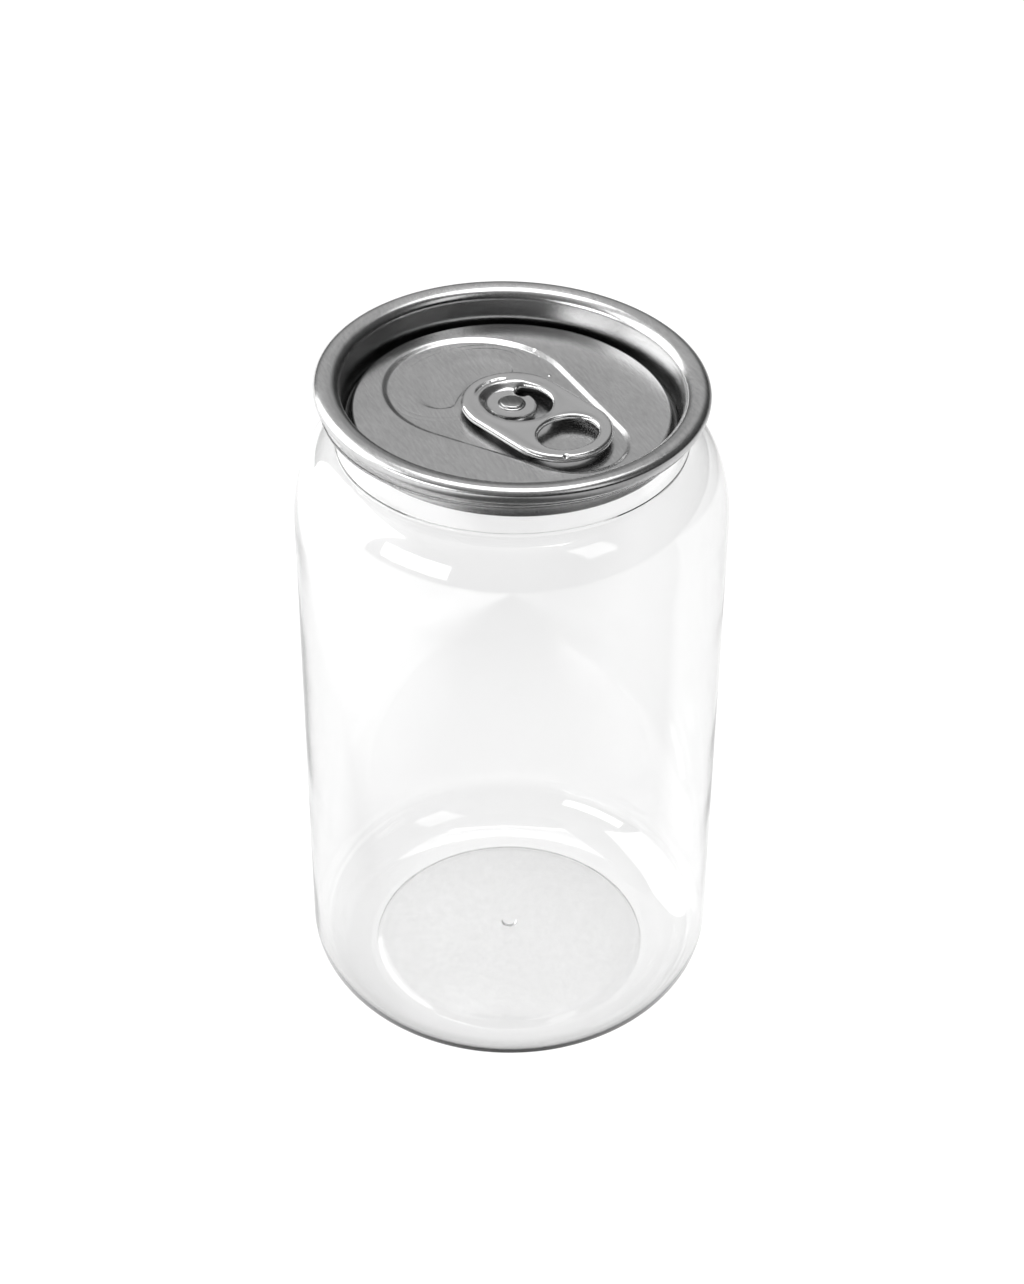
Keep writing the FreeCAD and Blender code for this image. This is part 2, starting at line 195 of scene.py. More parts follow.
body_inside = (
    curve_round(
        (neck_inner + 0.4, flange_top), (neck_inner, flange_top), (neck_inner, flange_top - 0.4), 6,
    )
    + [(neck_inner, neck_line - body_wall + 0.3)]
    + curve_round(
        (neck_inner, neck_line - body_wall + 0.3), (neck_inner, neck_line - body_wall),
        (neck_inner + 0.3, neck_line - body_wall), 4,
    )[1:]
    + curve_round(
        (neck_inner + 0.3, neck_line - body_wall), (body_inner, neck_line - body_wall),
        (body_inner, shoulder_start), 30,
    )[1:]
    + [(body_inner, shoulder_start + (heel_height - shoulder_start) * i / 8) for i in range(1, 8)]
    + curve_round(
        (body_inner, heel_height), (body_inner, body_wall), (foot_out, body_wall), 26,
    )
    + [(foot_in, body_wall), (foot_in - 0.25, body_wall + 0.1)]
    + [(crease_radius + 0.2, crease_height + body_wall - 0.15)]
    + dome(crease_radius, gate_radius + 0.3, dome_rise, crease_height + body_wall, 22)
    + [
        (gate_radius, crease_height + body_wall + dome_rise + 0.05),
        (gate_radius * 0.85, crease_height + body_wall + dome_rise + gate_height * 0.8),
        (gate_radius * 0.6, crease_height + body_wall + dome_rise + gate_height),
        (0.0, crease_height + body_wall + dome_rise + gate_height * 0.85),
    ]
)
# walked from the axis outwards underneath, so the faces come out facing away from the wall
body_profile = body_outside + body_inside
verts, faces = turned_piece(body_profile, 224)
bottle = finished("clear_body", verts, faces, 32)

# faintly grey and wavy, with the base disc inside the crease duller and mottled
clear_pet = bpy.data.materials.new("clear_pet")
clear_pet.use_nodes = True
nodes, links = clear_pet.node_tree.nodes, clear_pet.node_tree.links
nodes.clear()
output = nodes.new("ShaderNodeOutputMaterial")
plastic = nodes.new("ShaderNodeBsdfPrincipled")
plastic.inputs["Base Color"].default_value = (1.0, 1.0, 1.0, 1.0)
plastic.inputs["Transmission Weight"].default_value = 1.0
plastic.inputs["IOR"].default_value = 1.57
plastic.inputs["Metallic"].default_value = 0.0
place = nodes.new("ShaderNodeTexCoord")
waviness = nodes.new("ShaderNodeTexNoise")
waviness.inputs["Scale"].default_value = 45.0
waviness.inputs["Detail"].default_value = 1.0
ripple = nodes.new("ShaderNodeBump")
ripple.inputs["Strength"].default_value = 0.06
ripple.inputs["Distance"].default_value = 0.002
haze = nodes.new("ShaderNodeMapRange")
haze.inputs["To Min"].default_value = 0.01
haze.inputs["To Max"].default_value = 0.035
split = nodes.new("ShaderNodeSeparateXYZ")
across = nodes.new("ShaderNodeVectorMath")
across.operation = "LENGTH"
level = nodes.new("ShaderNodeVectorMath")
level.operation = "MULTIPLY"
level.inputs[1].default_value = (1.0, 1.0, 0.0)
disc = nodes.new("ShaderNodeMapRange")
disc.inputs["From Min"].default_value = (crease_radius + 0.2) * 0.001
disc.inputs["From Max"].default_value = (crease_radius - 0.4) * 0.001
low = nodes.new("ShaderNodeMapRange")
low.inputs["From Min"].default_value = 0.0072
low.inputs["From Max"].default_value = 0.0068
on_base = nodes.new("ShaderNodeMath")
on_base.operation = "MULTIPLY"
speckle = nodes.new("ShaderNodeTexNoise")
speckle.inputs["Scale"].default_value = 900.0
speckle.inputs["Detail"].default_value = 6.0
speckle.inputs["Roughness"].default_value = 0.7
frost = nodes.new("ShaderNodeMapRange")
frost.inputs["From Min"].default_value = 0.3
frost.inputs["From Max"].default_value = 0.7
frost.inputs["To Min"].default_value = 0.84
frost.inputs["To Max"].default_value = 0.92
dull = nodes.new("ShaderNodeMath")
dull.operation = "MULTIPLY_ADD"
dull.inputs[1].default_value = 0.2
tint = nodes.new("ShaderNodeMix")
tint.inputs["A"].default_value = 0.955
clear_light = nodes.new("ShaderNodeBsdfTransparent")
light_path = nodes.new("ShaderNodeLightPath")
let_light_in = nodes.new("ShaderNodeMixShader")
links.new(place.outputs["Object"], waviness.inputs["Vector"])
links.new(place.outputs["Object"], split.inputs["Vector"])
links.new(place.outputs["Object"], level.inputs[0])
links.new(level.outputs["Vector"], across.inputs[0])
links.new(across.outputs["Value"], disc.inputs["Value"])
links.new(split.outputs["Z"], low.inputs["Value"])
links.new(disc.outputs["Result"], on_base.inputs[0])
links.new(low.outputs["Result"], on_base.inputs[1])
links.new(place.outputs["Object"], speckle.inputs["Vector"])
links.new(speckle.outputs["Fac"], frost.inputs["Value"])
links.new(on_base.outputs["Value"], tint.inputs["Factor"])
links.new(frost.outputs["Result"], tint.inputs["B"])
links.new(tint.outputs["Result"], plastic.inputs["Base Color"])
links.new(waviness.outputs["Fac"], ripple.inputs["Height"])
links.new(waviness.outputs["Fac"], haze.inputs["Value"])
links.new(on_base.outputs["Value"], dull.inputs[0])
links.new(haze.outputs["Result"], dull.inputs[2])
links.new(dull.outputs["Value"], plastic.inputs["Roughness"])
links.new(ripple.outputs["Normal"], plastic.inputs["Normal"])
links.new(light_path.outputs["Is Shadow Ray"], let_light_in.inputs["Fac"])
links.new(plastic.outputs["BSDF"], let_light_in.inputs[1])
links.new(clear_light.outputs["BSDF"], let_light_in.inputs[2])
links.new(let_light_in.outputs["Shader"], output.inputs["Surface"])
bottle.data.materials.append(clear_pet)
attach(bottle, "root")
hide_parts("can_body")


# --- Easy-open end ---------------------------------------------------------------
# Aluminium sheet a quarter of a millimetre thick, pressed in one stroke: a curled
# edge, a sloping seaming panel, a chuck wall, a countersink and a flat panel with
# the opening pressed into it. It lies loose on the flange, slightly askew.
sheet = 0.25
curl_radius = flange_radius + 0.8
curl_height = 2.5
curl_crown = 1.1
curl_tuck = 0.8
crest_width = 1.4
seam_panel_rise = 0.4
crest_flat = 0.35
seam_corner_radius = 1.8
crest_radius = 2.4
chuck_radius = neck_inner - 0.3 - sheet
chuck_slope = math.tan(math.radians(5.4))
countersink_depth = 6.95
countersink_width = 1.15
countersink_radius = 0.54
panel_depth = 4.77
panel_edge_radius = 0.5
end_tilt = math.radians(1.73)
end_tilt_direction = math.radians(-22.0)
opening_direction = math.radians(-44.0)
deboss_depth = 0.45
deboss_slope = 0.85
deboss_big = (-7.1, 14.55)       # centre along the opening's axis, radius
deboss_small = (12.8, 8.5)
tear_centre = -10.3
tear_length = 9.0
tear_width = 12.9
score_width = 0.26
score_depth = 0.034
score_spacing = 1.0
pad_length = 5.6
pad_width = 9.3
pad_drop = 0.16                  # the pad lies this much lower than the sheet by the rivet
pad_nose = 8.3                   # how far from the rivet the pad stays
pad_fade = (2.6, 0.24)           # width of its edge, far from the rivet and near it
score_gap = 55.0                 # half angle left uncut at the hinge side, in degrees
deboss_soft = 0.035              # rounding of the deboss wall's corners
rivet_boss = (3.1, 0.6)          # radius, height
pimple = (-2.6, 10.9, 0.3, 0.16)  # along, across, radius, height
crest_dent = (-8.7, 14.3, 0.5, -0.06)
rivet_shank_radius = 1.2
rivet_head_radius = 2.1
rivet_head_thickness = 0.15
rivet_button_radius = 1.8
rivet_button_height = 0.3
island_thickness = 0.35


def rounded_corners(corners, radii, steps):
    """A profile through corners, each inner corner rounded by an arc of its radius."""
    points = [corners[0]]
    for before, corner, after, radius in zip(corners, corners[1:], corners[2:], radii):
        corner = Vector(corner)
        back = (Vector(before) - corner).normalized()
        onward = (Vector(after) - corner).normalized()
        half = back.angle(onward) / 2
        centre = corner + (back + onward).normalized() * (radius / math.sin(half))
        first = corner + back * (radius / math.tan(half)) - centre
        last = corner + onward * (radius / math.tan(half)) - centre
        sweep = math.pi - 2 * half
        for i in range(steps + 1):
            a, b = math.sin(sweep * (1 - i / steps)), math.sin(sweep * i / steps)
            points.append(tuple(centre + (first * a + last * b) / math.sin(sweep)))
    return points + [corners[-1]]


def ramp(value, start, end):
    """0 before start, 1 after end, smooth between."""
    t = np.clip((value - start) / (end - start), 0.0, 1.0)
    return t * t * (3 - 2 * t)


def slope(value, start, end, soft):
    """0 before start, 1 after end, straight between them, with softened corners."""
    t = (value - start) / (end - start)
    k = soft / (end - start)
    return k * (np.logaddexp(0, t / k) - np.logaddexp(0, (t - 1) / k))


def taper_depth(u, v, left, right):
    """How far inside the outline of two circles and their tangents a point lies."""
    u, v = np.asarray(u, float) - left[0], np.abs(v)
    span = right[0] - left[0]
    b = (left[1] - right[1]) / span
    a = math.sqrt(1 - b * b)
    k = -b * v + a * u
    far = np.hypot(u - span, v) - right[1]
    side = a * v + b * u - left[1]
    return -np.where(k < 0, np.hypot(u, v) - left[1], np.where(k > a * span, far, side))


def taper_outline(left, right, inset, spacing):
    """Evenly spaced points round two circles and their tangents, moved in by inset."""
    r1, r2 = left[1] - inset, right[1] - inset
    span = right[0] - left[0]
    lean = math.acos((r1 - r2) / span)
    arcs = [(right[0], r2, -lean, lean), (left[0], r1, lean, 2 * math.pi - lean)]
    points = []
    for centre, radius, start, end in arcs:
        count = max(6, int(radius * (end - start) / spacing))
        arc = [
            (centre + radius * math.cos(start + (end - start) * i / count),
             radius * math.sin(start + (end - start) * i / count))
            for i in range(count + 1)
        ]
        if points:
            (x0, y0), (x1, y1) = points[-1], arc[0]
            straight = max(1, int(math.hypot(x1 - x0, y1 - y0) / spacing))
            points += [
                (x0 + (x1 - x0) * i / straight, y0 + (y1 - y0) * i / straight)
                for i in range(1, straight)
            ]
        points += arc
    (x0, y0), (x1, y1) = points[-1], points[0]
    straight = max(1, int(math.hypot(x1 - x0, y1 - y0) / spacing))
    return points + [
        (x0 + (x1 - x0) * i / straight, y0 + (y1 - y0) * i / straight)
        for i in range(1, straight)
    ]


def oval_depth(u, v, centre, half_u, half_v):
    """Roughly how far inside an ellipse a point lies; exact at its edge."""
    u = np.asarray(u, float) - centre
    f = np.sqrt((u / half_u) ** 2 + (v / half_v) ** 2) + 1e-9
    steepness = np.sqrt((u / half_u ** 2) ** 2 + (v / half_v ** 2) ** 2) / f
    return (1 - f) / np.maximum(steepness, 1e-6)


def oval_outline(centre, half_u, half_v, spacing):
    count = int(math.pi * (half_u + half_v) / spacing)
    return [
        (centre + half_u * math.cos(2 * math.pi * i / count),
         half_v * math.sin(2 * math.pi * i / count))
        for i in range(count)
    ]


def woven(loops, loose, spacing, keep):
    """Triangles over a flat region: closed loops stay as edges, loose rings and a grid fill in."""
    points, edges = [], []
    for loop in loops:
        first = len(points)
        points += loop
        edges += [(first + i, first + (i + 1) % len(loop)) for i in range(len(loop))]
    near = kdtree.KDTree(len(points) + sum(len(ring) for ring in loose) + 1)
    for i, (u, v) in enumerate(points):
        near.insert((u, v, 0), i)
    near.balance()
    for ring in loose:
        for u, v in ring:
            if near.find((u, v, 0))[2] > 0.04:
                points.append((u, v))
    near = kdtree.KDTree(len(points))
    for i, (u, v) in enumerate(points):
        near.insert((u, v, 0), i)
    near.balance()
    low, high = np.min(points, axis=0), np.max(points, axis=0)
    for row in range(int((high[1] - low[1]) / (spacing * 0.866)) + 1):
        for col in range(int((high[0] - low[0]) / spacing) + 1):
            u = low[0] + spacing * (col + 0.5 * (row % 2)) + 0.013
            v = low[1] + spacing * 0.866 * row + 0.017
            if near.find((u, v, 0))[2] > spacing * 0.62:
                points.append((u, v))
    flat, _, triangles, _, _, _ = geometry.delaunay_2d_cdt(
        [Vector(p) for p in points], edges, [], 0, 1e-5, False
    )
    flat = np.array([tuple(p) for p in flat])
    triangles = np.array([t for t in triangles if len(t) == 3])
    middle = flat[triangles].mean(axis=1)
    triangles = triangles[keep(middle[:, 0], middle[:, 1])]
    used = np.unique(triangles)
    place = np.full(len(flat), -1)
    place[used] = np.arange(len(used))
    return flat[used], place[triangles]


def seated(points, turned, turn=0.0):
    """Points of the end, built level with its crest at height 0, set down on the flange.

    The lip's lowest point touches the flange's top; turned points follow the opening's axis.
    """
    across, down = math.sin(end_tilt), math.cos(end_tilt)
    rise = (
        (curl_radius - curl_tuck) * across + curl_crown * down
        + math.hypot(curl_tuck * across, (curl_height - curl_crown) * down)
    )
    lean_axis = Vector((-math.sin(end_tilt_direction), math.cos(end_tilt_direction), 0))
    move = Matrix.Translation((0, 0, flange_top + rise)) @ Matrix.Rotation(end_tilt, 4, lean_axis)
    if turned:
        move = move @ Matrix.Translation((0, 0, -panel_depth))
        move = move @ Matrix.Rotation(opening_direction + turn, 4, "Z")
    move = np.array(move)
    return np.asarray(points, float) @ move[:3, :3].T + move[:3, 3]


def pad_depth(u, v):
    """How far inside the pad of the tear panel a point lies."""
    oval = oval_depth(u, v, tear_centre, pad_length, pad_width)
    nose = np.hypot(u, v) - pad_nose
    soft = 0.55
    return -soft * np.log(np.exp(-oval / soft) + np.exp(-nose / soft))


def panel_height(u, v):
    """Height of the pressed panel over its flat level, along and across the opening."""
    inside = taper_depth(u, v, deboss_big, deboss_small)
    height = -deboss_depth * slope(inside, 0.0, deboss_slope, deboss_soft)
    around = np.degrees(np.arctan2(v, u - tear_centre - tear_length * 0.35))
    cut = 1 - ramp(score_gap - np.abs(around), 0.0, 6.0)
    for step in (0.0, score_spacing):
        d = oval_depth(u, v, tear_centre, tear_length - step, tear_width - step)
        groove = np.clip(1 - np.abs(d - score_width / 2) / (score_width / 2), 0, 1)
        height = height - score_depth * groove * cut
    pad = pad_depth(u, v)
    toward_rivet = ramp(np.asarray(u), tear_centre - 2.5, tear_centre + 3.0)
    fade = pad_fade[0] + (pad_fade[1] - pad_fade[0]) * toward_rivet
    height = height - pad_drop * ramp(pad / fade, 0.0, 1.0)
    r = np.hypot(u, v)
    height = height + rivet_boss[1] * (1 - ramp(r, rivet_boss[0], rivet_boss[0] + 0.7))
    for along, over, radius, rise in (pimple, crest_dent):
        away = ((u - along) ** 2 + (v - over) ** 2) / (radius * 0.6) ** 2
        height = height + rise * np.exp(-away)
    return height


floor = -countersink_depth
seam_corner = chuck_radius + (curl_crown - seam_panel_rise) * chuck_slope
chuck_foot = chuck_radius - (countersink_depth - curl_crown) * chuck_slope
panel_radius = chuck_foot - countersink_width
rim_corners = [
    (panel_radius - panel_edge_radius - 0.2, -panel_depth),
    (panel_radius, -panel_depth),
    (panel_radius, floor),
    (chuck_foot, floor),
    (seam_corner, -seam_panel_rise),
    (curl_radius - crest_width - crest_flat, 0.0),
    (curl_radius - crest_width, 0.0),
]
rim_radii = [
    panel_edge_radius, countersink_radius, countersink_radius, seam_corner_radius, crest_radius,
]
rim_profile = rounded_corners(rim_corners, rim_radii, 9)
rim_profile += curve_round(
    rim_corners[-1], (curl_radius, 0.0), (curl_radius, -curl_crown), 10,
)[1:]
rim_profile += curve_round(
    (curl_radius, -curl_crown), (curl_radius, -curl_height),
    (curl_radius - curl_tuck, -curl_height), 8,
)[1:]
end_segments = 288
rim_verts, rim_faces = turned_piece(rim_profile, end_segments)
rim_verts = seated(rim_verts, False)
rim_faces = [face[::-1] for face in rim_faces]

edge_ring = [
    (rim_corners[0][0] * math.cos(2 * math.pi * i / end_segments - opening_direction),
     rim_corners[0][0] * math.sin(2 * math.pi * i / end_segments - opening_direction))
    for i in range(end_segments)
]
rings = [
    taper_outline(deboss_big, deboss_small, inset, 0.4)
    for inset in (-0.3, -0.12, -0.04, 0.04, 0.12, 0.3, 0.55, 0.73, 0.81, 0.89, 0.97, 1.15)
]
for step in (0.0, score_spacing):
    rings += [
        oval_outline(tear_centre, tear_length - step - d, tear_width - step - d, 0.3)
        for d in (-0.2, 0.0, score_width / 2, score_width, score_width + 0.2)
    ]
rings += [
    oval_outline(tear_centre, pad_length - d, pad_width - d, 0.3)
    for d in (-0.15, 0.0, 0.06, 0.12, 0.18, 0.24, 0.4, 0.8, 1.3, 1.9)
]
for reach, steps in (
    (pad_nose, (-0.15, 0.0, 0.06, 0.12, 0.18, 0.24, 0.4, 0.7)),
    (rivet_boss[0], (-0.4, 0.0, 0.2, 0.35, 0.5, 0.7, 1.1)),
):
    rings += [oval_outline(0.0, reach + d, reach + d, 0.3) for d in steps]
for along, over, _, _ in (pimple, crest_dent):
    for r in (0.1, 0.2, 0.3, 0.45, 0.6):
        rings.append([(u + along, v + over) for u, v in oval_outline(0.0, r, r, 0.1)])
limit = rim_corners[0][0]
rings = [[(u, v) for u, v in ring if math.hypot(u, v) < limit - 0.15] for ring in rings]
flat, triangles = woven(
    [edge_ring], rings, 0.8, lambda u, v: np.hypot(u, v) < limit,
)
panel_verts = seated(
    np.c_[flat, np.where(np.hypot(flat[:, 0], flat[:, 1]) > limit - 1e-4, 0.0,
                         panel_height(flat[:, 0], flat[:, 1]))], True,
)
count = len(rim_verts)
verts = np.vstack([rim_verts, panel_verts])
faces = rim_faces + [tuple(int(i) + count for i in t) for t in triangles]
end_piece = finished("easy_open_end", verts, faces, 60)
weld = end_piece.modifiers.new("weld", "WELD")
weld.merge_threshold = 2e-5
thick = end_piece.modifiers.new("sheet", "SOLIDIFY")
thick.thickness = sheet * 0.001
thick.offset = -1.0


def grain_group():
    """Fine streaks left by the rolling mill and soft clouds of tone."""
    group = bpy.data.node_groups.new("rolled_grain", "ShaderNodeTree")
    face = group.interface
    for name, value in (
        ("Direction", 0.0), ("Fineness", 1.0), ("Tone", 0.75), ("Tone Spread", 0.05),
        ("Roughness", 0.25), ("Roughness Spread", 0.06), ("Grain Depth", 0.1),
    ):
        socket = face.new_socket(name, in_out="INPUT", socket_type="NodeSocketFloat")
        socket.default_value = value
    face.new_socket("Color", in_out="OUTPUT", socket_type="NodeSocketColor")
    face.new_socket("Roughness", in_out="OUTPUT", socket_type="NodeSocketFloat")
    face.new_socket("Normal", in_out="OUTPUT", socket_type="NodeSocketVector")
    n, l = group.nodes, group.links
    given, result = n.new("NodeGroupInput"), n.new("NodeGroupOutput")
    place = n.new("ShaderNodeTexCoord")
    turn = n.new("ShaderNodeVectorRotate")
    turn.rotation_type = "Z_AXIS"
    l.new(place.outputs["Object"], turn.inputs["Vector"])
    l.new(given.outputs["Direction"], turn.inputs["Angle"])
    stretch = n.new("ShaderNodeMapping")
    stretch.inputs["Scale"].default_value = (520.0, 2500.0, 2500.0)
    l.new(turn.outputs["Vector"], stretch.inputs["Vector"])
    streaks = n.new("ShaderNodeTexNoise")
    streaks.inputs["Detail"].default_value = 3.0
    streaks.inputs["Roughness"].default_value = 0.65
    l.new(stretch.outputs["Vector"], streaks.inputs["Vector"])
    l.new(given.outputs["Fineness"], streaks.inputs["Scale"])
    clouds = n.new("ShaderNodeTexNoise")
    clouds.inputs["Scale"].default_value = 170.0
    clouds.inputs["Detail"].default_value = 4.0
    l.new(place.outputs["Object"], clouds.inputs["Vector"])
    both = n.new("ShaderNodeMix")
    both.inputs["Factor"].default_value = 0.35
    l.new(streaks.outputs["Fac"], both.inputs["A"])
    l.new(clouds.outputs["Fac"], both.inputs["B"])
    centred = n.new("ShaderNodeMath")
    centred.operation = "SUBTRACT"
    centred.inputs[1].default_value = 0.5
    l.new(both.outputs["Result"], centred.inputs[0])
    tone = n.new("ShaderNodeMath")
    tone.operation = "MULTIPLY_ADD"
    l.new(centred.outputs["Value"], tone.inputs[0])
    l.new(given.outputs["Tone Spread"], tone.inputs[1])
    l.new(given.outputs["Tone"], tone.inputs[2])
    colour = n.new("ShaderNodeCombineColor")
    for channel in ("Red", "Green", "Blue"):
        l.new(tone.outputs["Value"], colour.inputs[channel])
    l.new(colour.outputs["Color"], result.inputs["Color"])
    rough = n.new("ShaderNodeMath")
    rough.operation = "MULTIPLY_ADD"
    l.new(centred.outputs["Value"], rough.inputs[0])
    l.new(given.outputs["Roughness Spread"], rough.inputs[1])
    l.new(given.outputs["Roughness"], rough.inputs[2])
    l.new(rough.outputs["Value"], result.inputs["Roughness"])
    bump = n.new("ShaderNodeBump")
    bump.inputs["Distance"].default_value = 0.00002
    l.new(given.outputs["Grain Depth"], bump.inputs["Strength"])
    l.new(both.outputs["Result"], bump.inputs["Height"])
    l.new(bump.outputs["Normal"], result.inputs["Normal"])
    return group


rolled_grain = grain_group()
rolling_direction = 24.0
end_tone = 0.53
shade_tone = 0.16                # where the sheet lies in deep shade
shade_reach = (6.9, 6.5)         # distances from the axis where the tab's shade starts, is full
shade_front = (-2.5, 0.5)        # the same along y, from the front


def aluminium(name, **values):
    """Bare lacquered aluminium, finished by the rolled grain with its own values."""
    metal = bpy.data.materials.new(name)
    metal.use_nodes = True
    nodes, links = metal.node_tree.nodes, metal.node_tree.links
    shader = nodes["Principled BSDF"]
    shader.inputs["Metallic"].default_value = 1.0
    shader.inputs["Anisotropic"].default_value = 0.6
    along = nodes.new("ShaderNodeCombineXYZ")
    along.inputs["X"].default_value = math.cos(math.radians(rolling_direction))
    along.inputs["Y"].default_value = math.sin(math.radians(rolling_direction))
    links.new(along.outputs["Vector"], shader.inputs["Tangent"])
    grain = nodes.new("ShaderNodeGroup")
    grain.node_tree = rolled_grain
    for socket, value in values.items():
        grain.inputs[socket.replace("_", " ")].default_value = value
    links.new(grain.outputs["Color"], shader.inputs["Base Color"])
    links.new(grain.outputs["Roughness"], shader.inputs["Roughness"])
    links.new(grain.outputs["Normal"], shader.inputs["Normal"])
    return metal


end_metal = aluminium(
    "end_aluminium", Direction=math.radians(90.0 - rolling_direction), Tone=end_tone,
    Tone_Spread=0.34, Roughness=0.24, Roughness_Spread=0.08, Grain_Depth=0.3,
)


def band(tree, value, rise_from, rise_to, low, high):
    """A node output that goes smoothly from low to high between two values."""
    step = tree.nodes.new("ShaderNodeMapRange")
    step.interpolation_type = "SMOOTHSTEP"
    step.inputs["From Min"].default_value = rise_from
    step.inputs["From Max"].default_value = rise_to
    step.inputs["To Min"].default_value = low
    step.inputs["To Max"].default_value = high
    tree.links.new(value, step.inputs["Value"])
    return step.outputs["Result"]


def combined(tree, operation, first, second):
    """A node output that joins two others by an operation of the Math node."""
    joined = tree.nodes.new("ShaderNodeMath")
    joined.operation = operation
    tree.links.new(first, joined.inputs[0])
    tree.links.new(second, joined.inputs[1])
    return joined.outputs["Value"]


# a darker tone stands in for deep shade: in the countersink, and under the back of the cut
tree = end_metal.node_tree
place = tree.nodes.new("ShaderNodeTexCoord")
level = tree.nodes.new("ShaderNodeVectorMath")
level.operation = "MULTIPLY"
level.inputs[1].default_value = (1000.0, 1000.0, 0.0)
across = tree.nodes.new("ShaderNodeVectorMath")
across.operation = "LENGTH"
split = tree.nodes.new("ShaderNodeSeparateXYZ")
tree.links.new(place.outputs["Object"], level.inputs[0])
tree.links.new(level.outputs["Vector"], across.inputs[0])
tree.links.new(level.outputs["Vector"], split.inputs["Vector"])
countersink = combined(
    tree, "MULTIPLY",
    band(tree, across.outputs["Value"], panel_radius - 0.2, panel_radius + 0.1, 0.0, 1.0),
    band(tree, across.outputs["Value"], chuck_foot + 0.1, chuck_foot + 0.4, 1.0, 0.0),
)
under_slot = combined(
    tree, "MULTIPLY",
    band(tree, across.outputs["Value"], *shade_reach, 0.0, 1.0),
    band(tree, split.outputs["Y"], *shade_front, 0.0, 1.0),
)
deep = combined(tree, "MAXIMUM", countersink, under_slot)
tree.links.new(
    band(tree, deep, 0.0, 1.0, end_tone, shade_tone), tree.nodes["Group"].inputs["Tone"],
)
end_piece.data.materials.append(end_metal)

# the rivet is drawn up out of the same sheet and its head is struck flat over the tab
island_bottom = rivet_boss[1] - deboss_depth
island_top = island_bottom + island_thickness
head_top = island_top + rivet_head_thickness
rivet_profile = [
    (0.0, -deboss_depth + 0.1), (rivet_shank_radius, -deboss_depth + 0.1),
    (rivet_shank_radius, island_top), (rivet_head_radius - 0.05, island_top),
    (rivet_head_radius, island_top + 0.05),
    (rivet_head_radius - 0.06, head_top - 0.02), (rivet_head_radius - 0.2, head_top),
    (rivet_button_radius + 0.12, head_top - 0.02),
]
rivet_profile += curve_round(
    (rivet_button_radius + 0.02, head_top),
    (rivet_button_radius, head_top + rivet_button_height),
    (rivet_button_radius - 0.3, head_top + rivet_button_height), 5,
)
rivet_profile += [
    (0.7, head_top + rivet_button_height + 0.02), (0.0, head_top + rivet_button_height + 0.03),
]
verts, faces = turned_piece(rivet_profile, 64)
rivet = finished("rivet", seated(verts, True), faces, 50)
rivet.data.materials.append(end_metal)

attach(end_piece, "root")
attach(rivet, "root")
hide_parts("can_end")


# --- Stay-on tab ---------------------------------------------------------------------
# A second aluminium strip, its edge curled under all round to stiffen it, with a
# rolled finger hole. A C-shaped cut leaves an island that the rivet's head holds, and a
# strip of metal joins the island to the nose; on the real can the tab bends up about
# that strip, here it is one fixed piece.
tab_radius = 8.2
tab_nose = 7.4
tab_heel = 18.3
tab_turn = math.radians(-2.5)
tab_ground_gap = 0.65
tab_height = 1.3
tab_curl = 1.5
tab_web_drop = 0.07              # the web lies this much under the curled edge
tab_web = 0.3
island_radius = 3.8
island_ramp = 1.1
island_soft = 0.12
slot_radius = 5.2
slot_offset = 1.25
slot_start = -95.0
slot_end = 112.0
slot_holes = ((4.45, 0.5), (3.65, 0.95))  # reach from the rivet and radius, at each end
rivet_hole = 1.3
hole_centre = 12.05
hole_length = 7.9
hole_width = 9.9
hole_curl = 0.65
hole_round = 0.58                # rounding down into the finger hole
slot_round = (0.14, 0.36)        # rounding at the cut's edge, and what its far side adds
slot_swell = (0.8, 0.6, 0.08)    # distance out from the cut, width, height
bead_radius = 5.55
bead_depth = 0.2
bead_width = (0.16, 0.5)         # outside and inside its deepest line
swell = (-3.2, 5.0, 1.3, 0.14)   # along, across, radius, height, beside the bead's end
nick = (-36.0, 7.85, 0.34, 0.3)  # direction about the heel's centre, reach, radius, depth
tab_bottom = tab_ground_gap - deboss_depth
tab_top = tab_bottom + tab_height
web_top = tab_top - tab_web_drop
web_bottom = web_top - tab_web
nose_circle = (tab_radius - tab_nose, tab_radius)
heel_circle = (tab_heel - tab_radius, tab_radius)


def on_circle(centre, radius, angle):
    """A point on a circle whose centre lies on the tab's long axis."""
    return (centre + radius * math.cos(math.radians(angle)), radius * math.sin(math.radians(angle)))


def slot_rim(direction):
    """Distance from the rivet of the cut's outer edge, in a direction in degrees."""
    turn = np.radians(direction)
    side = slot_offset * np.sin(turn)
    return slot_offset * np.cos(turn) + np.sqrt(slot_radius ** 2 - side ** 2)


def slot_depth(u, v):
    """How far inside the C-shaped cut a point lies."""
    u, v = np.asarray(u, float), np.asarray(v, float)
    r = np.hypot(u, v)
    angle = np.degrees(np.arctan2(v, u))
    between = np.minimum(r - island_radius, slot_radius - np.hypot(u - slot_offset, v))
    ends = []
    for at, (reach, radius) in zip((slot_start, slot_end), slot_holes):
        hub = on_circle(0.0, reach, at)
        ends.append(radius - np.hypot(u - hub[0], v - hub[1]))
    within = (angle >= slot_start) & (angle <= slot_end)
    return np.maximum(np.where(within, between, -9.0), np.maximum(*ends))


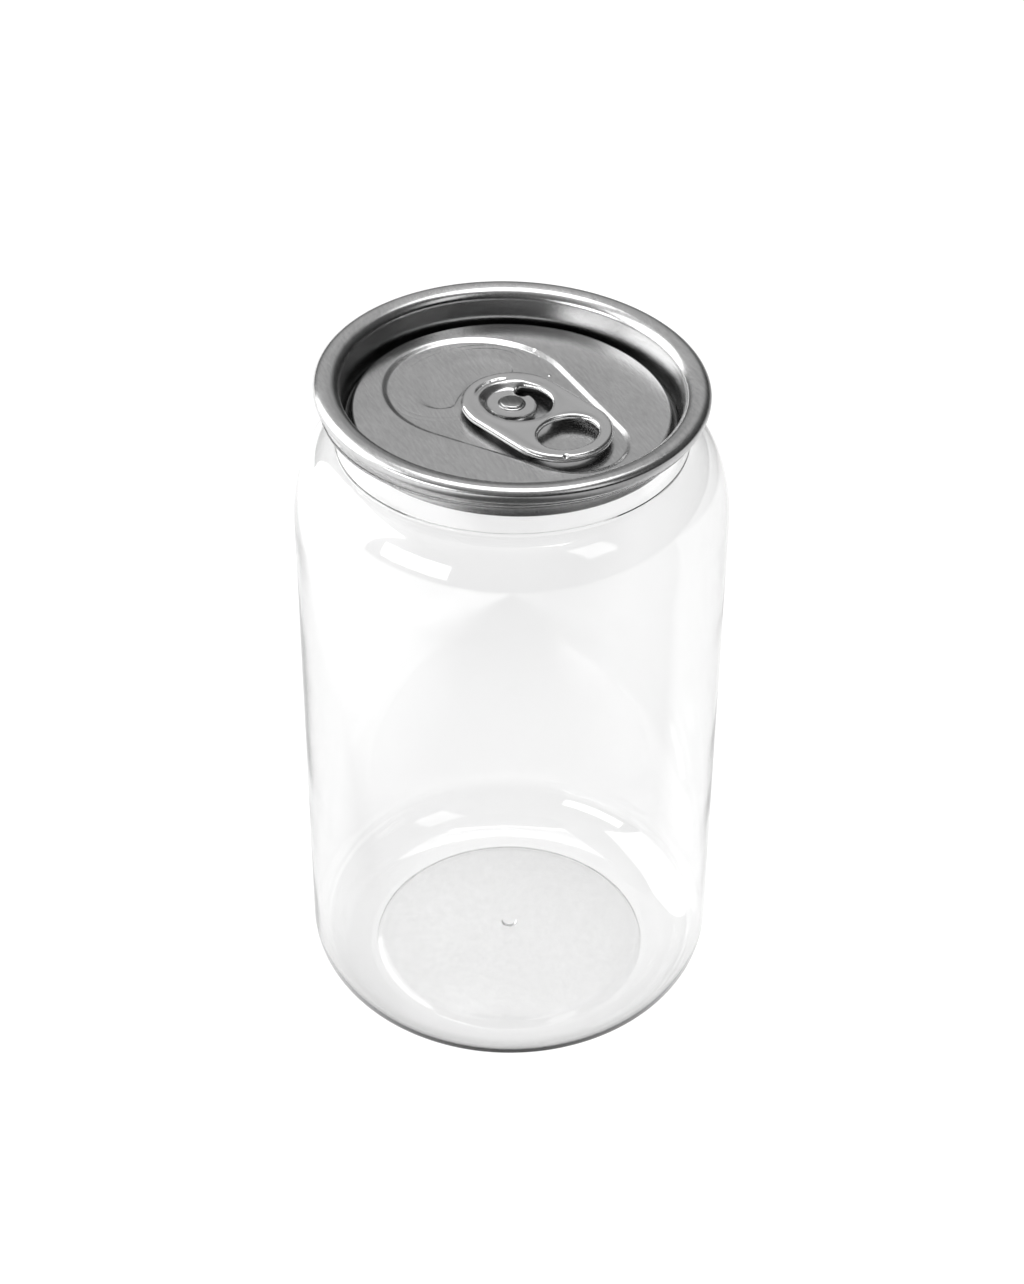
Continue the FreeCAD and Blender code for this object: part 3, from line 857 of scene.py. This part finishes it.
def slot_outline(grow, spacing):
    """Points round the C-shaped cut, moved out by grow, found on rays from points inside it."""
    middle = []
    for i in range(61):
        angle = slot_start + (slot_end - slot_start) * i / 60
        middle.append(on_circle(0.0, (island_radius + float(slot_rim(angle))) / 2, angle))
    middle[0] = on_circle(0.0, slot_holes[0][0], slot_start)
    middle[-1] = on_circle(0.0, slot_holes[1][0], slot_end)

    def edge(hub, way):
        near, far = 0.0, 6.0
        for _ in range(34):
            half = (near + far) / 2
            if float(slot_depth(hub[0] + way[0] * half, hub[1] + way[1] * half)) > -grow:
                near = half
            else:
                far = half
        return (hub[0] + way[0] * near, hub[1] + way[1] * near)

    shape = []
    angles = [slot_start + (slot_end - slot_start) * i / 60 for i in range(2, 58)]
    for angle, hub in zip(angles, middle[2:58]):
        shape.append(edge(hub, on_circle(0.0, 1.0, angle)))
    for i in range(1, 24):
        turn = slot_end - 60 + 300 * i / 24
        shape.append(edge(middle[-1], on_circle(0.0, 1.0, turn)))
    for angle, hub in list(zip(angles, middle[2:58]))[::-1]:
        shape.append(edge(hub, on_circle(0.0, -1.0, angle)))
    for i in range(1, 16):
        turn = slot_start - 240 + 300 * i / 16
        shape.append(edge(middle[0], on_circle(0.0, 1.0, turn)))
    even = [shape[0]]
    for point in shape[1:]:
        if math.dist(point, even[-1]) > 0.07:
            even.append(point)
    return even


def over_edge(depth, radius):
    """How far a rounded edge drops below its top, at a depth in from the edge."""
    t = np.clip(1 - depth / radius, 0.0, 1.0)
    return radius * (1 - np.sqrt(np.maximum(1 - t * t, 0.0)))


def tab_heights(u, v):
    """Top and underside of the tab, over the panel's flat level."""
    u, v = np.asarray(u, float), np.asarray(v, float)
    edge = taper_depth(u, v, nose_circle, heel_circle)
    hole = -oval_depth(u, v, hole_centre, hole_length / 2, hole_width / 2)
    slot = -slot_depth(u, v)
    r = np.hypot(u, v)
    angle = np.degrees(np.arctan2(v, u)) % 360
    top = tab_top - tab_web_drop * ramp(edge, 0.8, 2.2) * ramp(hole, 0.3, 1.5)
    beside = np.hypot(u - slot_offset, v) - slot_radius - slot_swell[0]
    swelling = slot_swell[2] * np.exp(-(beside / slot_swell[1]) ** 2)
    top = top + swelling * ramp(np.abs(angle - 185.0), 60.0, 100.0)
    off_island = slope(r, island_radius, island_radius + island_ramp, island_soft)
    dish = island_top + (web_top - island_top) * off_island
    inside = ramp(r, island_radius + island_ramp + 0.4, island_radius + island_ramp - 0.1)
    top = top + (np.minimum(top, dish) - top) * inside
    bead = np.exp(-((r - bead_radius) / np.where(r > bead_radius, *bead_width)) ** 2)
    bead = bead * ramp(angle, 140.0, 156.0) * (1 - ramp(angle, 200.0, 226.0))
    top = top - bead_depth * bead
    along, over, radius, rise = swell
    top = top + rise * np.exp(-((u - along) ** 2 + (v - over) ** 2) / radius ** 2)
    nick_u, nick_v = on_circle(heel_circle[0], nick[1], nick[0])
    top = top - nick[3] * np.exp(-((u - nick_u) ** 2 + (v - nick_v) ** 2) / nick[2] ** 2)
    bottom = np.full_like(top, web_bottom)
    curl = ramp(edge, tab_curl - 0.12, tab_curl + 0.12)
    bottom = tab_bottom + (bottom - tab_bottom) * curl
    rolled = tab_top - hole_curl
    lip = rolled + (bottom - rolled) * ramp(hole, 0.75, 1.05)
    bottom = np.where(hole < 1.05, np.minimum(bottom, lip), bottom)
    low = island_bottom + (web_bottom - island_bottom) * off_island
    bottom = np.where(edge > tab_curl, np.minimum(bottom, low), bottom)
    bottom = bottom + over_edge(edge, tab_height / 2)
    far_side = ramp(angle, 5.0, 50.0) * (1 - ramp(angle, 140.0, 170.0))
    top = top - over_edge(edge, tab_height / 2) - over_edge(hole, hole_round)
    top = top - over_edge(slot, slot_round[0] + slot_round[1] * far_side)
    return top, np.minimum(bottom, top - 0.02)


outline = taper_outline(nose_circle, heel_circle, 0.0, 0.3)
hole_loop = oval_outline(hole_centre, hole_length / 2, hole_width / 2, 0.25)
slot_loop = slot_outline(0.0, 0.2)
rivet_loop = oval_outline(0.0, rivet_hole, rivet_hole, 0.25)
half = tab_height / 2
rings = [
    taper_outline(nose_circle, heel_circle, d, 0.3)
    for d in [half * (1 - math.cos(math.radians(t))) for t in (14, 28, 42, 56, 70, 84)]
    + [0.85, 1.05, 1.3, 1.42, 1.6, 1.8, 2.1]
]
rings += [
    oval_outline(hole_centre, hole_length / 2 + d, hole_width / 2 + d, 0.28)
    for d in (0.01, 0.04, 0.09, 0.16, 0.24, 0.33, 0.44, 0.58, 0.75, 0.9, 1.05, 1.3)
]
rings += [slot_outline(d, 0.22) for d in (0.02, 0.07, 0.14, 0.24, 0.36, 0.5, 0.8, 1.2)]
rings += [
    oval_outline(0.0, r, r, 0.25)
    for r in (3.2, 3.5, 3.65, 3.8, 4.1, 4.4, 4.7, 4.85, 5.0, 5.2, 5.4, 5.6, 5.8, 6.1)
]


def on_tab(u, v):
    """Whether a point lies on the metal, clear of the finger hole, the cut and the rivet."""
    return (
        (taper_depth(u, v, nose_circle, heel_circle) > 0)
        & (oval_depth(u, v, hole_centre, hole_length / 2, hole_width / 2) < 0)
        & (slot_depth(u, v) < 0)
        & (np.hypot(u, v) > rivet_hole)
    )


nick_u, nick_v = on_circle(heel_circle[0], nick[1], nick[0])
rings += [
    [(u + nick_u, v + nick_v) for u, v in oval_outline(0.0, r, r, 0.12)]
    for r in (0.15, 0.3, 0.45, 0.6)
]
rings = [[(u, v) for u, v in ring if on_tab(u, v)] for ring in rings]
flat, triangles = woven([outline, hole_loop, slot_loop, rivet_loop], rings, 0.5, on_tab)
top, bottom = tab_heights(flat[:, 0], flat[:, 1])
edge_sides = {}
for a, b, c in triangles:
    for side in ((a, b), (b, c), (c, a)):
        edge_sides[side] = True
borders = [side for side in edge_sides if side[::-1] not in edge_sides]
count = len(flat)
faces = [tuple(int(i) for i in t) for t in triangles]
faces += [tuple(int(i) + count for i in t[::-1]) for t in triangles]
faces += [(int(b), int(a), int(a) + count, int(b) + count) for a, b in borders]
verts = seated(np.vstack([np.c_[flat, top], np.c_[flat, bottom]]), True, tab_turn)
tab_piece = finished("stay_on_tab", verts, faces, 50)
weld = tab_piece.modifiers.new("weld", "WELD")
weld.merge_threshold = 2e-6
tab_tone = 0.6
# tone of the downward faces, a painted shade
underside_painted_shade = 0.15
tab_metal = aluminium(
    "tab_aluminium", Direction=-opening_direction, Tone=tab_tone, Tone_Spread=0.08,
    Roughness=0.2, Roughness_Spread=0.06, Grain_Depth=0.14,
)
# faces that look down are darker: painted shade, standing in for the shade under the tab
nodes, links = tab_metal.node_tree.nodes, tab_metal.node_tree.links
facing = nodes.new("ShaderNodeTexCoord")
split = nodes.new("ShaderNodeSeparateXYZ")
under = nodes.new("ShaderNodeMapRange")
under.inputs["From Min"].default_value = -0.7
under.inputs["From Max"].default_value = -0.1
under.inputs["To Min"].default_value = underside_painted_shade
under.inputs["To Max"].default_value = tab_tone
links.new(facing.outputs["Normal"], split.inputs["Vector"])
links.new(split.outputs["Z"], under.inputs["Value"])
links.new(under.outputs["Result"], nodes["Group"].inputs["Tone"])
tab_piece.data.materials.append(tab_metal)
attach(tab_piece, "root")
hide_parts("tab")


# --- Table and light ----------------------------------------------------------------
# A plain white table under soft boxes: a large one at the left, a low bright one at the
# front left, a small one at the front right and one overhead. In mirror images the table
# shows a painted reflection instead of itself: brightest far to the left, bright behind
# the can, less at the right and dark in front of the can, a painted shade in place of
# black flags. Sizes are in metres.
table_reach = 20.0
table_white = 0.4
table_glow = 0.63
corners = [(-table_reach, -table_reach), (table_reach, -table_reach)]
corners += [(-x, -y) for x, y in corners]
table_mesh = bpy.data.meshes.new("table")
table_mesh.from_pydata([(x, y, 0) for x, y in corners], [], [(0, 1, 2, 3)])
table = bpy.data.objects.new("table", table_mesh)
bpy.context.scene.collection.objects.link(table)
white = bpy.data.materials.new("white_table")
white.use_nodes = True
tree = white.node_tree
paper = tree.nodes["Principled BSDF"]
paper.inputs["Base Color"].default_value = (table_white, table_white, table_white, 1)
paper.inputs["Roughness"].default_value = 0.8
paper.inputs["Specular IOR Level"].default_value = 0.0
paper.inputs["Emission Color"].default_value = (1, 1, 1, 1)
paper.inputs["Emission Strength"].default_value = table_glow
place = tree.nodes.new("ShaderNodeTexCoord")
split = tree.nodes.new("ShaderNodeSeparateXYZ")
painted_reflection = tree.nodes.new("ShaderNodeEmission")
light_path = tree.nodes.new("ShaderNodeLightPath")
by_ray = tree.nodes.new("ShaderNodeMixShader")
tree.links.new(place.outputs["Object"], split.inputs["Vector"])
# painted reflection: how bright the table looks in mirror images, by place on the table
sides = combined(
    tree, "ADD",
    band(tree, split.outputs["X"], -0.05, -0.14, 0.1, 1.4),
    band(tree, split.outputs["X"], 0.04, 0.14, 0.0, 0.5),
)
behind_can = combined(
    tree, "MULTIPLY",
    band(tree, split.outputs["Y"], -0.04, 0.005, 0.0, 1.0),
    band(tree, split.outputs["Y"], 0.34, 0.2, 0.0, 1.0),
)
tree.links.new(combined(tree, "MAXIMUM", sides, behind_can), painted_reflection.inputs["Strength"])
tree.links.new(light_path.outputs["Glossy Depth"], by_ray.inputs["Fac"])
tree.links.new(paper.outputs["BSDF"], by_ray.inputs[1])
tree.links.new(painted_reflection.outputs["Emission"], by_ray.inputs[2])
tree.links.new(by_ray.outputs["Shader"], tree.nodes["Material Output"].inputs["Surface"])
table.data.materials.append(white)


def soft_box(name, position, width, height, radiance):
    """A rectangular lamp facing the can, as bright as asked whatever its size."""
    lamp = bpy.data.lights.new(name, "AREA")
    lamp.shape = "RECTANGLE"
    lamp.size, lamp.size_y = width, height
    lamp.energy = radiance * math.pi * width * height
    box = bpy.data.objects.new(name, lamp)
    box.location = position
    toward_can = Vector((0, 0, 0.1)) - Vector(position)
    box.rotation_euler = toward_can.to_track_quat("-Z", "Y").to_euler()
    bpy.context.scene.collection.objects.link(box)


soft_box("left_box", (-1.05, 0.3, 0.55), 1.3, 1.25, 3.0)
soft_box("front_left_box", (-0.86, -0.72, 0.38), 0.75, 0.34, 5.0)
soft_box("right_box", (0.75, -0.6, 0.95), 0.4, 0.6, 1.6)
soft_box("overhead_box", (0.05, 0.24, 1.3), 0.8, 0.8, 3.4)

# the room is bright overhead and behind the can, dim near the table, in front and at the right
world = bpy.data.worlds.new("studio")
bpy.context.scene.world = world
world.use_nodes = True
tree = world.node_tree
heading = tree.nodes.new("ShaderNodeTexCoord")
split = tree.nodes.new("ShaderNodeSeparateXYZ")
tree.links.new(heading.outputs["Generated"], split.inputs["Vector"])
glow = combined(
    tree, "MULTIPLY",
    band(tree, split.outputs["Z"], 0.0, 0.6, 0.05, 0.62),
    band(tree, split.outputs["Y"], -0.75, -0.1, 0.25, 1.0),
)
glow = combined(tree, "MULTIPLY", glow, band(tree, split.outputs["X"], 0.1, 0.55, 1.0, 0.15))
tree.links.new(glow, tree.nodes["Background"].inputs["Strength"])
tree.nodes["Background"].inputs["Color"].default_value = (1, 1, 1, 1)
